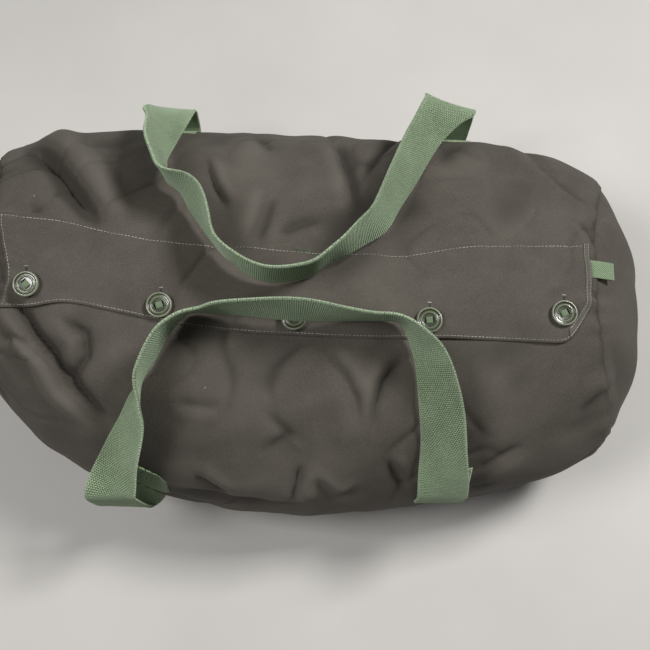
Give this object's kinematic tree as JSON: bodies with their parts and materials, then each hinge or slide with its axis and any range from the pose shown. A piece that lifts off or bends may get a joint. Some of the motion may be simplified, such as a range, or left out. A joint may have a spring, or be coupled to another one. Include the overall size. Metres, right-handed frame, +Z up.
{
  "type": "duffel bag",
  "caption": "Barrel-shaped canvas duffel bag with domed ends, a long buttoned flap over the mouth and two webbing carry handles",
  "frame": {"origin": "on the floor under the middle of the bag", "axes": "+X along the bag, +Y to the side that the flap is sewn to, +Z up"},
  "size_m": [0.734, 0.4461, 0.304],
  "materials": {
    "canvas": "tightly woven dark grey-brown canvas",
    "canvas_facing": "inner face of the dark canvas",
    "binding_tape": "olive cotton tape",
    "webbing": "ribbed olive-green cotton webbing",
    "tape": "narrow green cotton tape",
    "tab_tape": "light green twill tape",
    "button_plastic": "glossy olive-green plastic"
  },
  "bodies": {
    "bag": {"body_panel": "canvas", "end_panel_left": "canvas", "end_panel_right": "canvas", "end_binding_left": "binding_tape", "end_binding_right": "binding_tape", "button_stand": "canvas_facing", "flap_sewn_edge": "canvas", "far_handle_end_left": "webbing", "far_handle_end_right": "webbing", "near_handle_end_left": "webbing", "near_handle_end_right": "webbing", "tab_base": "tab_tape"},
    "flap": {"closure_flap": "canvas", "flap_facing": "canvas_facing"},
    "button_1": {"button_1": "button_plastic", "button_tape_1": "tape"},
    "button_2": {"button_2": "button_plastic", "button_tape_2": "tape"},
    "button_3": {"button_3": "button_plastic", "button_tape_3": "tape"},
    "button_4": {"button_4": "button_plastic", "button_tape_4": "tape"},
    "button_5": {"button_5": "button_plastic", "button_tape_5": "tape"},
    "far_fold": {"far_handle_fold_left": "webbing", "far_handle_fold_right": "webbing"},
    "far_grip": {"far_handle": "webbing"},
    "near_fold": {"near_handle_fold_left": "webbing", "near_handle_fold_right": "webbing"},
    "near_grip": {"near_handle": "webbing"},
    "tab": {"pull_tab": "tab_tape"}
  },
  "joints": [
    {"name": "flap_hinge", "type": "hinge", "parent": "bag", "child": "flap", "pos_m": [0, 0.022, 0.2439], "axis": [-1, 0, 0], "range_deg": [0, 150]},
    {"name": "far_handle_fold", "type": "hinge", "parent": "bag", "child": "far_fold", "pos_m": [0, 0.22255, 0.134], "axis": [-1, 0, 0], "range_deg": [0, 90]},
    {"name": "far_handle_lift", "type": "hinge", "parent": "far_fold", "child": "far_grip", "pos_m": [0, 0.22255, 0.15], "axis": [-1, 0, 0], "range_deg": [0, 50]},
    {"name": "near_handle_fold", "type": "hinge", "parent": "bag", "child": "near_fold", "pos_m": [0, -0.20724, 0.134], "axis": [0.9986, 0.0523, 0], "range_deg": [0, 90]},
    {"name": "near_handle_lift", "type": "hinge", "parent": "near_fold", "child": "near_grip", "pos_m": [0, -0.20724, 0.15], "axis": [0.9986, 0.0523, 0], "range_deg": [0, 50]},
    {"name": "button_1_turn", "type": "hinge", "parent": "bag", "child": "button_1", "pos_m": [-0.2636, -0.02559, 0.23506], "axis": [0, -0.1763, 0.9843], "range_deg": [-45, 45]},
    {"name": "button_2_turn", "type": "hinge", "parent": "bag", "child": "button_2", "pos_m": [-0.13353, -0.04074, 0.23584], "axis": [0, -0.1101, 0.9939], "range_deg": [-45, 45]},
    {"name": "button_3_turn", "type": "hinge", "parent": "bag", "child": "button_3", "pos_m": [-0.00402, -0.046, 0.23575], "axis": [0, -0.1091, 0.994], "range_deg": [-45, 45]},
    {"name": "button_4_turn", "type": "hinge", "parent": "bag", "child": "button_4", "pos_m": [0.12566, -0.04136, 0.23515], "axis": [0, -0.1264, 0.992], "range_deg": [-45, 45]},
    {"name": "button_5_turn", "type": "hinge", "parent": "bag", "child": "button_5", "pos_m": [0.25546, -0.02682, 0.23521], "axis": [0, -0.1438, 0.9896], "range_deg": [-45, 45]},
    {"name": "tab_lift", "type": "hinge", "parent": "bag", "child": "tab", "pos_m": [0.2894, 0.02047, 0.23946], "axis": [0, -1, 0], "range_deg": [0, 110]}
  ],
  "couplings": [
    {"joint": "far_handle_fold", "follows": "flap_hinge", "ratio": 0.6},
    {"joint": "near_handle_fold", "follows": "flap_hinge", "ratio": 0.6}
  ]
}
